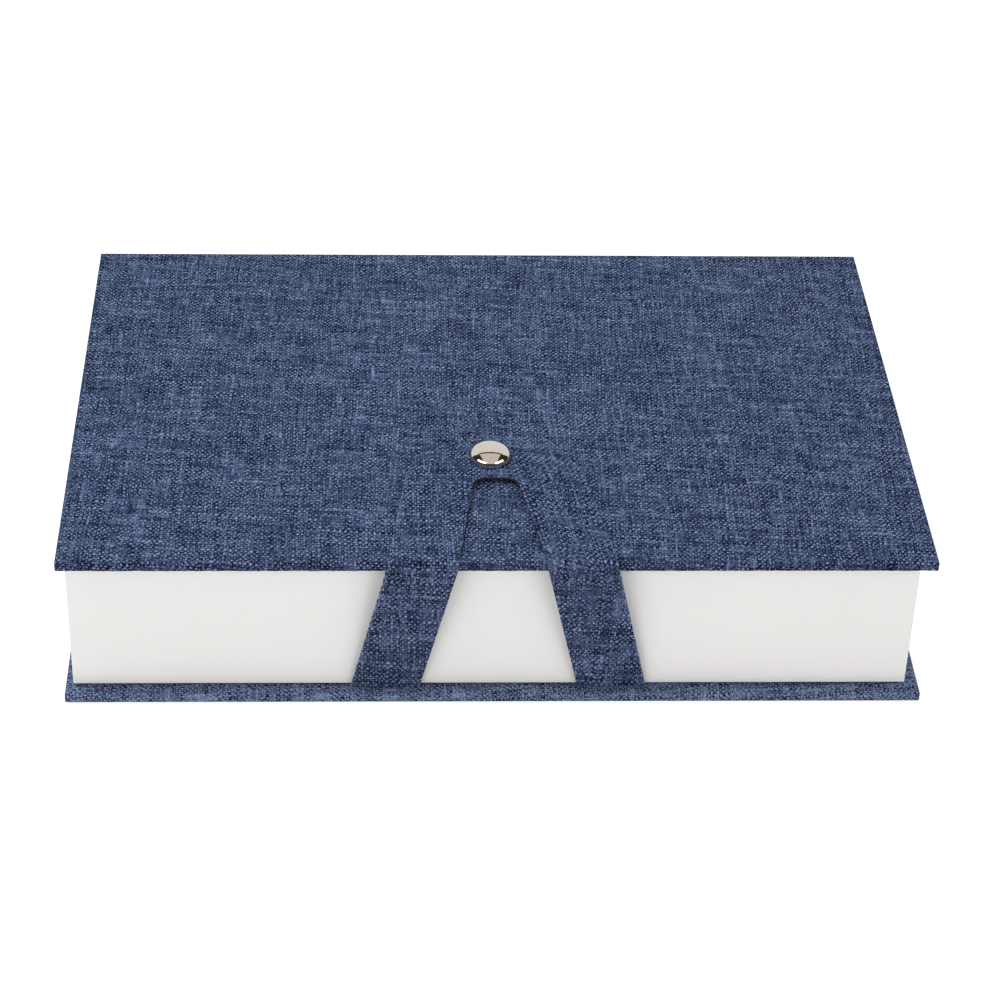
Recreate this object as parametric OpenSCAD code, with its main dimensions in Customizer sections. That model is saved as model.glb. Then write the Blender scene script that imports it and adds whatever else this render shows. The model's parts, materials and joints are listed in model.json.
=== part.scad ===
// Archival box: a cloth-covered case wrapped round a paper-covered tray, held shut by a
// forked strap with a press snap.
// Millimetres. +X is the box's right, -Y its front, +Z up. The origin is the centre of
// the footprint, on the surface that the box stands on.

/* [Tray] */
// Width of the space inside the tray
inner_w = 307; // [220:1:420]
// Depth of the space inside the tray, front to back
inner_d = 205; // [150:1:320]
// Height of the space inside the tray
inner_h = 53.6; // [30:0.1:100]
// Thickness of the tray's boards
tray_board_t = 2; // [1.5:0.1:3]
// Thickness of the white covering paper
paper_t = 0.2; // [0.15:0.01:0.3]
// Width of the paper folded under the tray's floor
paper_fold = 15; // [8:1:25]
// How far the tray is glued to the right of the case's middle
tray_shift = -1.2; // [-2:0.1:2]

/* [Case] */
// Thickness of the lid, spine and base boards
case_board_t = 3; // [2:0.1:4]
// Thickness of the book cloth
cloth_t = 0.4; // [0.3:0.02:0.5]
// Width of the cloth turned in over the edges of the boards
turn_in = 15; // [12:1:20]
// How far lid and base stand out in front of the tray
front_overhang = 5.3; // [4:0.1:9]
// How far lid and base stand out beside the tray, before its shift
side_overhang = 4.1; // [3:0.1:7]
// Rounding of the covered edges
edge_r = 0.6; // [0.5:0.05:1.1]
// Outer radius of the cloth where it bends from the spine on to the lid
hinge_r = 2; // [1.6:0.1:2.4]
// Margin that the lid's lining leaves at the front and the sides
lining_margin = 3; // [2:0.5:5]
// Clearance between the closed lid and the tray's rim
lid_clear = 0.2; // [0.1:0.02:0.4]
// How far the glue stays inside the edge of the tray
glue_margin = 12; // [9:1:20]

/* [Strap] */
// Thickness of the cloth on each face of the strap
strap_cloth_t = 0.35; // [0.25:0.01:0.45]
// Thickness of the card inside the strap
strap_core_t = 0.3; // [0.2:0.02:0.6]
// Width of the strap's band
band_w = 25.4; // [20:0.2:32]
// How far the strap sits to the right of the case's middle
strap_shift = 0.8; // [-2:0.1:2]
// Radius of the corners at the top of the cut-out between the legs
cutout_r = 6; // [3:0.5:9]
// Width of the straight top of the cut-out between its corners
cutout_flat = 6; // [2:0.5:14]
// Splay of each leg on the lid, in degrees
crown_splay = 9; // [4:0.5:12]
// Splay of each leg in front of the tray, in degrees
leg_splay = 12.8; // [6:0.2:16]
// Length of each strap end glued under the tray
tail_l = 25; // [15:1:40]
// Clearance between the strap and the lid
strap_clear = 0.3; // [0.2:0.02:0.4]
// Inner radius of the fold at the lid's front edge
crease_r = 0.5; // [0.45:0.01:0.7]
// Length of the supple stretch of the crown next to that fold, where the card stops short
crease_flat = 6; // [3:0.5:6]
// Inner radius of the fold under the tray's front edge
foot_r = 0.6; // [0.4:0.05:1]
// Height of the strap above the lid at the snap
crown_gap = 2; // [2:0.02:2.1]
// Length over which the strap climbs to that height
crown_climb = 50; // [15:1:54]

/* [Snap] */
// Distance from the lid's front edge to the snap's centre
snap_y = 62.5; // [58:0.5:80]
// How far the snap sits to the right of the case's middle
snap_x = -1.2; // [-3:0.1:3]
// Diameter of the snap's cap
cap_d = 15.8; // [13:0.1:18]
// Height of the cap above the strap
cap_h = 5.4; // [4:0.1:6]
// Height of the cap's rolled rim
cap_rim_h = 1.3; // [0.6:0.05:1.6]
// Outer diameter of the cap's rivet tube
rivet_d = 3.8; // [3:0.1:4]
// Wall of the rivet tube and of the post
rivet_wall = 0.4; // [0.3:0.05:0.5]
// Diameter of the socket's flange
socket_d = 12.4; // [11:0.1:13]
// Diameter of the socket's hub
hub_d = 9.6; // [9:0.1:10.2]
// Height of the whole socket, which hangs under the strap
socket_h = 1.95; // [1.9:0.01:1.98]
// Thickness of the socket's flange
socket_plate_t = 0.3; // [0.25:0.01:0.35]
// Diameter of the stud's head
stud_head_d = 6; // [5.6:0.1:6.2]
// Diameter of the stud's neck
stud_neck_d = 5; // [4.6:0.1:5.2]
// Diameter of the stud's flange
stud_flange_d = 10.4; // [9:0.1:10.8]
// Thickness of the flanges of the stud and of the post
flange_t = 0.4; // [0.3:0.02:0.5]
// Height of the stud above the lid
stud_h = 1.05; // [1:0.01:1.1]
// Radial clearance between the stud's head and the socket
stud_clear = 0.4; // [0.3:0.02:0.5]
// Wire diameter of the ring spring
spring_wire_d = 0.5; // [0.4:0.02:0.5]
// Depth of the dish that the snap presses into the lid
dish_depth = 0.6; // [0.55:0.05:1]
// Outer diameter of the post's tube
post_d = 3; // [2.4:0.1:3.2]
// Clearance round the tubes of the rivet and of the post
tube_clear = 0.1; // [0.05:0.01:0.2]

/* [Hidden] */
$fn = 72;
eps = 0.01;

// Thicknesses that several pieces share
strap_t = 2 * strap_cloth_t + strap_core_t;
wall_t = tray_board_t + 2 * paper_t;
case_t = case_board_t + 2 * cloth_t;

// Sizes of the tray and of the case
tray_w = inner_w + 2 * wall_t;
tray_d = inner_d + 2 * wall_t;
case_w = tray_w + 2 * side_overhang;

// Levels, from the ground up
base_board_z = cloth_t;
base_board_top = base_board_z + case_board_t;
tray_z = case_t + strap_t;
tray_board_z = tray_z + paper_t;
floor_z = tray_board_z + tray_board_t;
rim_z = floor_z + paper_t + inner_h;
lining_z = rim_z + lid_clear;
lid_z = lining_z + paper_t;
lid_board_z = lid_z + cloth_t;
lid_top = lid_z + case_t;
spine_top = rim_z - paper_t;

// The strap's legs lean from the fold at the tray's foot to the lid's front edge
foot_z = tray_z + foot_r;
lid_edge_z = lid_z - foot_z;
lean = atan2(front_overhang, lid_edge_z)
     + asin((strap_clear - foot_r) / norm([front_overhang, lid_edge_z]));
crease_z = lid_top + strap_clear - crease_r;
crease_in = crease_r - foot_r;
leg_l = (crease_z - foot_z - crease_in * sin(lean)) / cos(lean);
crease_back = front_overhang + crease_in * cos(lean) - leg_l * sin(lean);
strap_proud = round(50 * (crease_r + strap_t - crease_back)) / 50;

// Places from front to back; the footprint is centred on the origin
depth_all = strap_proud + front_overhang + tray_d + case_t;
front_y = strap_proud - depth_all / 2;
tray_y = front_y + front_overhang;
tray_back = tray_y + tray_d;
back_y = tray_back + case_t;
spine_board_y = tray_back + cloth_t;
spine_cloth_y = spine_board_y + case_board_t;
lid_back = back_y - hinge_r;
crease_y = front_y + crease_back;
tray_x = tray_shift - tray_w / 2;
case_x = -case_w / 2;

// The strap's crown is a band of constant width round the cut-out
crown_y = snap_y - band_w / 2 - cutout_r;
crown_r = cutout_r + band_w;
crown_top = crown_y + crown_r;
leg_w = band_w / cos(crown_splay);
crease_x = arch_x(cutout_r, crease_back) + leg_w / 2;
foot_x = crease_x + leg_l * tan(leg_splay);
crown_z = lid_top + strap_clear;
climb_end = snap_y - socket_d / 2;
climb_start = climb_end - crown_climb;
climb_h = crown_gap - strap_clear;
climb_r = (pow(crown_climb, 2) + pow(climb_h, 2)) / (4 * climb_h);
climb_steps = 12;
corner_steps = 27;
crease_gap = 0.2;

// The snap's levels
snap_under = lid_top + crown_gap;
snap_over = snap_under + strap_t;
socket_z = snap_under - socket_h;
dish_z = lid_top - dish_depth;
stud_top = lid_top + stud_h;
lip_t = 0.15;
roll_t = 0.25;
roll_w = 0.8;
bore_d = stud_head_d + 2 * stud_clear;
groove_d = bore_d + 2 * spring_wire_d - 0.1;
groove_z = socket_z + lip_t;
groove_h = spring_wire_d + 0.04;
spring_d = (stud_neck_d + stud_head_d) / 2 + spring_wire_d + 0.3;
dish_d = stud_flange_d + 0.8;
dish_slope = 1.6;

// Half the width of an arch of corner radius r, at distance y behind the lid's edge
function arch_x(r, y) =
    cutout_flat / 2 + r * cos(crown_splay)
    + (crown_y + r * sin(crown_splay) - y) * tan(crown_splay);

// Half an arch of corner radius r. Its order runs up the right half for side 1, down the
// left half for side -1, up the left half for side -2 and down the right half for side 2.
function half_arch(r, side) =
    let (y0 = crease_back + crease_gap,
         points = concat([[arch_x(r, y0), y0]],
                         [for (i = [0 : corner_steps])
                          let (t = crown_splay + (90 - crown_splay) * i / corner_steps)
                          [cutout_flat / 2 + r * cos(t), crown_y + r * sin(t)]]),
         n = len(points) - 1,
         up = side == 1 || side == -2,
         x = side > 0 ? 1 : -1)
    [for (i = [0 : n]) let (p = points[up ? i : n - i]) [x * p[0], p[1]]];

// Height that the strap has climbed at distance y behind the lid's edge
function climb(y) =
    y <= climb_start ? 0 :
    y >= climb_end ? climb_h :
    y < climb_start + crown_climb / 2
        ? climb_r - sqrt(pow(climb_r, 2) - pow(y - climb_start, 2))
        : climb_h - climb_r + sqrt(pow(climb_r, 2) - pow(climb_end - y, 2));

// ---- Shapes that several pieces share ----

// Box from one corner to the other
module block(low, high) {
    translate(low) cube(high - low);
}

// Rectangle from low to high with rounded corners
module rounded_rect(low, high, r) {
    translate([low[0] + r, low[1]]) square([high[0] - low[0] - 2 * r, high[1] - low[1]]);
    translate([low[0], low[1] + r]) square([high[0] - low[0], high[1] - low[1] - 2 * r]);
    for (x = [low[0] + r, high[0] - r], y = [low[1] + r, high[1] - r])
        translate([x, y]) circle(r);
}

// Draws a profile given as (Y, Z) and extrudes it along X, from x0 over length l
module along_x(x0, l) {
    translate([x0, 0, 0]) rotate([90, 0, 90]) linear_extrude(l) children();
}

// Covered board: rounded at the front and the sides, cut straight at the back
module covered_board(z0, z1, y1) {
    back = y1 + edge_r;
    intersection() {
        translate([0, 0, z0]) linear_extrude(z1 - z0)
            rounded_rect([case_x, front_y], [-case_x, back], edge_r);
        along_x(case_x, case_w) rounded_rect([front_y, z0], [back, z1], edge_r);
        translate([0, y1, 0]) rotate([90, 0, 0]) linear_extrude(y1 - front_y)
            rounded_rect([case_x, z0], [-case_x, z1], edge_r);
    }
}

// Cloth's opening inside the turned-in edges, open at the back
module turn_in_window(z0, z1, y1) {
    block([case_x + turn_in, front_y + turn_in, z0], [-case_x - turn_in, y1 + eps, z1]);
}

// Ring sector between two directions, given in degrees
module ring_sector(r, t, from, to) {
    far = 3 * (r + t);
    mid = (from + to) / 2;
    intersection() {
        difference() {
            circle(r + t);
            circle(r);
        }
        polygon([[0, 0], far * [cos(from), sin(from)], far * [cos(mid), sin(mid)],
                 far * [cos(to), sin(to)]]);
    }
}

// Places its children at the snap's axis, with height measured from z
module at_snap(z) {
    translate([snap_x, front_y + snap_y, z]) children();
}

// ---- Case: base and spine ----

module base_board() {
    color("tan")
    block([case_x + cloth_t, front_y + cloth_t, base_board_z],
          [-case_x - cloth_t, spine_cloth_y, base_board_top]);
}

module base_cloth() {
    color("steelblue")
    difference() {
        covered_board(0, case_t, spine_cloth_y);
        block([case_x + cloth_t, front_y + cloth_t, base_board_z],
              [-case_x - cloth_t, back_y, base_board_top]);
        turn_in_window(base_board_z, case_t + eps, back_y);
        block([case_x - eps, tray_back, base_board_top], [-case_x + eps, back_y, case_t + eps]);
    }
}

module spine_board() {
    color("tan")
    block([case_x + cloth_t, spine_board_y, base_board_top],
          [-case_x - cloth_t, spine_cloth_y, spine_top]);
}

// One outer sheet from the base's back edge up to the lid's hinge, turned in at both ends
module spine_cloth() {
    color("steelblue")
    difference() {
        along_x(case_x, case_w) {
            translate([tray_back, base_board_top])
                square([case_t, spine_top - base_board_top]);
            intersection() {
                rounded_rect([tray_back, 0], [back_y, case_t], edge_r);
                translate([spine_cloth_y, 0]) square([cloth_t, base_board_top]);
            }
        }
        block([case_x + cloth_t, spine_board_y, base_board_top - eps],
              [-case_x - cloth_t, spine_cloth_y, spine_top + eps]);
        block([case_x + turn_in, tray_back - eps, base_board_top - eps],
              [-case_x - turn_in, spine_cloth_y, spine_top + eps]);
    }
}

// Inner strip on the spine, folded over its top edge
module spine_lining() {
    color("white")
    union() {
        block([case_x + turn_in, tray_back, base_board_top],
              [-case_x - turn_in, spine_board_y, spine_top]);
        block([case_x + turn_in, tray_back, spine_top],
              [-case_x - turn_in, spine_cloth_y, rim_z]);
    }
}

// Cloth that bends from the spine on to the lid
module hinge_cloth() {
    color("steelblue")
    along_x(case_x, case_w) {
        translate([lid_back, lid_top - hinge_r])
            ring_sector(hinge_r - cloth_t, cloth_t, 0, 90);
        translate([spine_cloth_y, spine_top])
            square([cloth_t, lid_top - hinge_r - spine_top]);
    }
}

// Glue that fills the space between base and tray, round the strap's ends
module glue_bed() {
    x0 = max(case_x + turn_in, tray_x + glue_margin);
    x1 = min(-case_x - turn_in, tray_x + tray_w - glue_margin);
    y0 = max(front_y + turn_in, tray_y + glue_margin);
    y1 = tray_back - glue_margin;
    color("linen")
    difference() {
        union() {
            block([x0, y0, base_board_top], [x1, y1, tray_z]);
            block([max(x0, tray_x + paper_fold), max(y0, tray_y + paper_fold), tray_z],
                  [min(x1, tray_x + tray_w - paper_fold),
                   min(y1, tray_back - paper_fold), tray_board_z]);
        }
        for (side = [-1, 1])
            strap_tail(side);
    }
}

// ---- Tray ----

module tray_floor_board() {
    color("tan")
    block([tray_x + paper_t, tray_y + paper_t, tray_board_z],
          [tray_x + tray_w - paper_t, tray_back - paper_t, floor_z]);
}

// Wall board from (x, y), of width w and depth d
module tray_wall(x, y, w, d) {
    translate([x, y, floor_z]) cube([w, d, rim_z - paper_t - floor_z]);
}

module tray_front_board() {
    color("tan")
    tray_wall(tray_x + paper_t, tray_y + paper_t, tray_w - 2 * paper_t, tray_board_t);
}

module tray_back_board() {
    color("tan")
    tray_wall(tray_x + paper_t, tray_back - paper_t - tray_board_t,
              tray_w - 2 * paper_t, tray_board_t);
}

module tray_side_board(x) {
    y = tray_y + paper_t + tray_board_t;
    tray_wall(x, y, tray_board_t, tray_back - paper_t - tray_board_t - y);
}

module tray_left_board() {
    color("tan") tray_side_board(tray_x + paper_t);
}

module tray_right_board() {
    color("tan") tray_side_board(tray_x + tray_w - paper_t - tray_board_t);
}

// Paper round the walls: folded under the floor, up the outside, over the rim and down inside
module tray_wrap() {
    color("whitesmoke")
    difference() {
        block([tray_x, tray_y, tray_z], [tray_x + tray_w, tray_back, rim_z]);
        block([tray_x + paper_fold, tray_y + paper_fold, tray_z - eps],
              [tray_x + tray_w - paper_fold, tray_back - paper_fold, floor_z]);
        block([tray_x + wall_t, tray_y + wall_t, floor_z - eps],
              [tray_x + tray_w - wall_t, tray_back - wall_t, rim_z + eps]);
        tray_floor_board();
        tray_front_board();
        tray_back_board();
        tray_left_board();
        tray_right_board();
    }
}

module tray_floor_paper() {
    color("whitesmoke")
    block([tray_x + wall_t, tray_y + wall_t, floor_z],
          [tray_x + tray_w - wall_t, tray_back - wall_t, floor_z + paper_t]);
}

// ---- Lid ----

// Dish that the snap presses into the lid, with its lowest face at z
module dish(z) {
    at_snap(z) cylinder(h = dish_depth + eps, d1 = dish_d, d2 = dish_d + 2 * dish_slope);
}

module post_hole() {
    at_snap(lining_z - eps) cylinder(h = case_t + 1, d = post_d + 2 * tube_clear);
}

module lid_board() {
    color("tan")
    difference() {
        block([case_x + cloth_t, front_y + cloth_t, lid_board_z],
              [-case_x - cloth_t, lid_back, lid_top - cloth_t]);
        dish(dish_z - cloth_t);
        post_hole();
    }
}

module lid_cloth() {
    color("steelblue")
    difference() {
        covered_board(lid_z, lid_top, lid_back);
        difference() {
            block([case_x + cloth_t, front_y + cloth_t, lid_board_z],
                  [-case_x - cloth_t, back_y, lid_top - cloth_t]);
            dish(dish_z - cloth_t);
        }
        turn_in_window(lid_z - eps, lid_board_z + eps, back_y);
        dish(dish_z);
        post_hole();
    }
}

// White sheet inside the lid, pressed down over the turned-in cloth and on to the board
module lid_lining() {
    x = case_x + lining_margin;
    y1 = lid_back - lining_margin / 3;
    step = turn_in + paper_t;
    color("whitesmoke")
    difference() {
        block([x, front_y + lining_margin, lining_z], [-x, y1, lid_board_z]);
        difference() {
            block([x - eps, front_y, lid_z], [-x + eps, back_y, lid_board_z + eps]);
            turn_in_window(lid_z - eps, lid_board_z + 2 * eps, back_y);
        }
        block([case_x + step, front_y + step, lining_z - eps],
              [-case_x - step, back_y, lid_board_z - paper_t]);
        post_hole();
    }
}

// ---- Snap: stud and post on the lid ----

module snap_stud() {
    head_r = stud_head_d / 2;
    neck_r = stud_neck_d / 2;
    flange_r = stud_flange_d / 2;
    bore_r = post_d / 2 + tube_clear;
    head_z = stud_top - 0.6;
    color("silver")
    at_snap(0) rotate_extrude()
        polygon([
            [bore_r, dish_z], [flange_r - 0.2, dish_z], [flange_r, dish_z + 0.2],
            [flange_r - 0.1, dish_z + flange_t], [neck_r + 0.3, dish_z + flange_t],
            [neck_r, dish_z + flange_t + 0.3], [neck_r, head_z],
            [head_r, head_z + 0.3], [head_r, head_z + 0.4],
            [head_r - 0.2, stud_top - 0.05], [head_r - 0.5, stud_top], [bore_r, stud_top]
        ]);
}

// Eyelet pushed up through the lid and rolled over on the stud
module snap_post() {
    flange_r = stud_flange_d / 2 - 0.2;
    r = post_d / 2;
    bore_r = r - rivet_wall;
    z0 = lid_board_z - paper_t;
    color("silver")
    at_snap(0) rotate_extrude()
        polygon([
            [bore_r, z0 - flange_t + 0.1], [bore_r + 0.1, z0 - flange_t],
            [flange_r - 0.2, z0 - flange_t], [flange_r, z0 - 0.15], [flange_r, z0],
            [r, z0], [r, stud_top], [r + roll_w / 2, stud_top],
            [r + roll_w / 2, stud_top + 0.1], [r + 0.2, stud_top + lip_t],
            [bore_r + 0.1, stud_top + lip_t], [bore_r, stud_top + 0.1]
        ]);
}

// ---- Strap ----

// Plan of the crown: two straight legs joined by an arch with two round corners
module crown_plan() {
    difference() {
        polygon(concat(half_arch(crown_r, 1), half_arch(crown_r, -1),
                       half_arch(cutout_r, -2), half_arch(cutout_r, 2)));
        translate([snap_x - strap_shift, snap_y]) circle(d = rivet_d + 2 * tube_clear);
    }
}

// One layer of the crown, between heights a and b above the strap's underside
module crown_layer(a, b) {
    ys = concat([crease_back + crease_flat],
                [for (i = [0 : climb_steps]) climb_start + i * crown_climb / climb_steps],
                [crown_top + 1]);
    under = [for (y = ys) [y, crown_z + climb(y) + a]];
    over = [for (i = [len(ys) - 1 : -1 : 0]) [ys[i], crown_z + climb(ys[i]) + b]];
    translate([strap_shift, front_y, 0])
    intersection() {
        translate([0, 0, crown_z - 1]) linear_extrude(climb_h + strap_t + 2) crown_plan();
        along_x(-2 * crown_r, 4 * crown_r) polygon(concat(under, over));
    }
}

module crown_backing() {
    color("steelblue") crown_layer(0, strap_cloth_t);
}

module crown_core() {
    color("peru") crown_layer(strap_cloth_t, strap_cloth_t + strap_core_t);
}

module crown_face() {
    color("steelblue") crown_layer(strap_cloth_t + strap_core_t, strap_t);
}

// Bent stretch of the strap over the lid's front edge, one on each leg, and the supple
// stretch behind it
module strap_crease() {
    y0 = crease_back;
    y1 = crease_back + crease_flat;
    color("steelblue")
    for (side = [-1, 1])
        translate([strap_shift, front_y, 0]) union() {
            translate([0, crease_back, crease_z])
                along_x(side * crease_x - leg_w / 2, leg_w)
                    ring_sector(crease_r, strap_t, 90, 180 + lean);
            translate([0, 0, crown_z]) linear_extrude(strap_t)
                polygon([
                    [side * arch_x(cutout_r, y0), y0], [side * arch_x(crown_r, y0), y0],
                    [side * arch_x(crown_r, y1), y1], [side * arch_x(cutout_r, y1), y1]
                ]);
        }
}

// One layer of both legs, between depths a and b outwards from the strap's inner face
module leg_layer(a, b) {
    for (side = [-1, 1])
        translate([strap_shift, tray_y, foot_z]) rotate([lean, 0, 0])
            translate([0, -foot_r - a, 0]) rotate([90, 0, 0]) linear_extrude(b - a)
                polygon([
                    [side * foot_x - leg_w / 2, 0], [side * foot_x + leg_w / 2, 0],
                    [side * crease_x + leg_w / 2, leg_l], [side * crease_x - leg_w / 2, leg_l]
                ]);
}

module leg_backing() {
    color("steelblue") leg_layer(0, strap_cloth_t);
}

module leg_core() {
    color("peru") leg_layer(strap_cloth_t, strap_cloth_t + strap_core_t);
}

module leg_face() {
    color("steelblue") leg_layer(strap_cloth_t + strap_core_t, strap_t);
}

// Bent stretch of the strap under the tray's front edge, one on each leg
module strap_foot_folds() {
    color("steelblue")
    for (side = [-1, 1])
        translate([strap_shift, tray_y, foot_z])
            along_x(side * foot_x - leg_w / 2, leg_w)
                ring_sector(foot_r, strap_t, 180 + lean, 270);
}

// End of one leg, glued between the base and the tray
module strap_tail(side) {
    x = strap_shift + side * foot_x;
    block([x - leg_w / 2, tray_y, case_t], [x + leg_w / 2, tray_y + tail_l, tray_z]);
}

module strap_tails() {
    color("steelblue")
    for (side = [-1, 1])
        strap_tail(side);
}

// ---- Snap: cap, socket and spring on the strap ----

// Domed cap with a rolled rim; its tube goes down through the strap and is rolled out
module snap_cap() {
    r = cap_d / 2;
    tube_r = rivet_d / 2;
    bore_r = tube_r - rivet_wall;
    plate_z = snap_under - socket_plate_t;
    roll_z = plate_z - roll_t;
    dome_h = cap_h - cap_rim_h;
    steps = 16;
    fullness = 2.3;
    dome = [for (i = [0 : steps]) let (t = 90 * i / steps)
            [r * pow(cos(t), 2 / fullness),
             snap_over + cap_rim_h + dome_h * pow(sin(t), 2 / fullness)]];
    color("gainsboro")
    at_snap(0) rotate_extrude()
        polygon(concat(
            [[0, snap_over + 0.3], [bore_r, snap_over + 0.3], [bore_r, roll_z],
             [tube_r + roll_w - 0.15, roll_z], [tube_r + roll_w, roll_z + 0.15],
             [tube_r + roll_w, plate_z], [tube_r, plate_z], [tube_r, snap_over],
             [r - 0.5, snap_over], [r - 0.15, snap_over + 0.15]],
            dome));
}

module snap_socket() {
    flange_r = socket_d / 2;
    hub_r = hub_d / 2;
    bore_r = bore_d / 2;
    hole_r = rivet_d / 2 + tube_clear;
    plate_z = snap_under - socket_plate_t;
    color("silver")
    at_snap(0) rotate_extrude()
        polygon([
            [hole_r, plate_z], [bore_r, plate_z], [bore_r, groove_z + groove_h],
            [groove_d / 2, groove_z + groove_h], [groove_d / 2, groove_z],
            [bore_r, groove_z], [bore_r + 0.1, socket_z], [hub_r - 0.3, socket_z],
            [hub_r, socket_z + 0.3], [hub_r, plate_z - 0.3], [hub_r + 0.3, plate_z - 0.1],
            [flange_r - 0.1, plate_z - 0.1], [flange_r, plate_z], [flange_r, snap_under],
            [hole_r, snap_under]
        ]);
}

// Split ring of wire in the socket's groove, which grips the stud under its head
module snap_spring() {
    color("dimgray")
    at_snap(groove_z + groove_h / 2) rotate([0, 0, 15]) rotate_extrude(angle = 330)
        translate([spring_d / 2, 0]) circle(d = spring_wire_d);
}

base_board();
base_cloth();
spine_board();
spine_cloth();
spine_lining();
hinge_cloth();
glue_bed();
tray_floor_board();
tray_front_board();
tray_back_board();
tray_left_board();
tray_right_board();
tray_wrap();
tray_floor_paper();
lid_board();
lid_cloth();
lid_lining();
snap_stud();
snap_post();
strap_tails();
strap_foot_folds();
leg_backing();
leg_core();
leg_face();
strap_crease();
crown_backing();
crown_core();
crown_face();
snap_cap();
snap_socket();
snap_spring();
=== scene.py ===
"""Looks of the archival box: cloth, paper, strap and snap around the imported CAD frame."""
import json
import math

import bmesh
import bpy
import numpy as np
from mathutils import Matrix, Vector, noise


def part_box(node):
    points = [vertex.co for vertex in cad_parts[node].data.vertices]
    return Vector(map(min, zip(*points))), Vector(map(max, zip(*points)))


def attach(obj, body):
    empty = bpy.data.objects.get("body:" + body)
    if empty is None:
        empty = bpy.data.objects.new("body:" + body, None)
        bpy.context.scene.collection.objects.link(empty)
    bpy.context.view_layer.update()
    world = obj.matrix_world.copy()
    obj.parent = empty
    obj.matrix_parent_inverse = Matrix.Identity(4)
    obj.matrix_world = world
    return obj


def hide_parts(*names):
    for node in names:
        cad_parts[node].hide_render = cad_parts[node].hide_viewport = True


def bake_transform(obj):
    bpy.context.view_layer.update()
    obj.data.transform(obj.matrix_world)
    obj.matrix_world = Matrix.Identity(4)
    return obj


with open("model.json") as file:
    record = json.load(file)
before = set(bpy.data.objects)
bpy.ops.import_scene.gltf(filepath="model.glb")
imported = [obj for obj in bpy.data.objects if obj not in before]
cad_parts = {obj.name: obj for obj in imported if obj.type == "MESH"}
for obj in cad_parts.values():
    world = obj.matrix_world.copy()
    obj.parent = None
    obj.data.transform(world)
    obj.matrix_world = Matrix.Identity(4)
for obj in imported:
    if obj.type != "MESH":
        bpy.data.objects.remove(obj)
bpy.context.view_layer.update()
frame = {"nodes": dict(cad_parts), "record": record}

MM = 0.001
UV_NAME = "weave"

# ---------------------------------------------------------------- sizes, in millimetres

def mm_box(node):
    """Low and high corner of a CAD node's box."""
    low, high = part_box(node)
    return np.array(low) / MM, np.array(high) / MM


def joint_axis(name):
    """(y, z) of a joint's axis; all of them run along X."""
    for joint in frame["record"]["behaviour"]["joints"]:
        if joint["name"] == name:
            return np.array(joint["pos_m"][1:]) / MM
    raise ValueError(name)


BASE_LOW, BASE_HIGH = mm_box("base_cloth")
LID_LOW, LID_HIGH = mm_box("lid_cloth")
SPINE_LOW, SPINE_HIGH = mm_box("spine_cloth")
SPINE_LINING_LOW, _ = mm_box("spine_lining")
_, HINGE_HIGH = mm_box("hinge_cloth")
TRAY_LOW, TRAY_HIGH = mm_box("tray_wrap")
FLOOR_PAPER_LOW, _ = mm_box("tray_floor_paper")
LID_BOARD_LOW, _ = mm_box("lid_board")
TAIL_LOW, TAIL_HIGH = mm_box("strap_tails")
FOOT_LOW, FOOT_HIGH = mm_box("strap_foot_folds")
_, CREASE_HIGH = mm_box("strap_crease")
CROWN_LOW, _ = mm_box("crown_backing")
CAP_LOW, CAP_HIGH = mm_box("snap_cap")
SOCKET_LOW, SOCKET_HIGH = mm_box("snap_socket")
CREASE_AXIS = joint_axis("strap_crown_fold")
FOOT_AXIS = joint_axis("strap_swing")

# Case: cloth, covered edges, and how uneven the cloth is along them
LID_TOP = LID_HIGH[2]
BACK_Y = HINGE_HIGH[1]
CLOTH_T = LID_BOARD_LOW[2] - LID_LOW[2]
TURN_IN = SPINE_LINING_LOW[0] - SPINE_LOW[0]
EDGE_R = 0.6
EDGE_ROUGH = 0.22

# Strap: thickness, plan of the crown, folds and the climb to the snap
STRAP_T = TAIL_HIGH[2] - TAIL_LOW[2]
BAND_W = 25.4
CUTOUT_R = 6.0
CUTOUT_FLAT = 6.0
CROWN_SPLAY = math.radians(9)
LEG_W = BAND_W / math.cos(CROWN_SPLAY)
STRAP_X = (FOOT_LOW[0] + FOOT_HIGH[0]) / 2
CREASE_X = CREASE_HIGH[0] - STRAP_X - LEG_W / 2
FOOT_X = FOOT_HIGH[0] - STRAP_X - LEG_W / 2
CREASE_R = CROWN_LOW[2] - CREASE_AXIS[1]
FOOT_R = FOOT_AXIS[1] - TAIL_HIGH[2]
CAP_CENTRE = (CAP_LOW[:2] + CAP_HIGH[:2]) / 2
CAP_R = (CAP_HIGH[0] - CAP_LOW[0]) / 2
CORNER_Y = CAP_CENTRE[1] - BAND_W / 2 - CUTOUT_R
CROWN_Z = CROWN_LOW[2]
SNAP_UNDER = SOCKET_HIGH[2]
CLIMB_L = 50.0
CLIMB_END = CAP_CENTRE[1] - (SOCKET_HIGH[0] - SOCKET_LOW[0]) / 2

rng = np.random.default_rng(7)

# ---------------------------------------------------------------- node helpers

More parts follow.
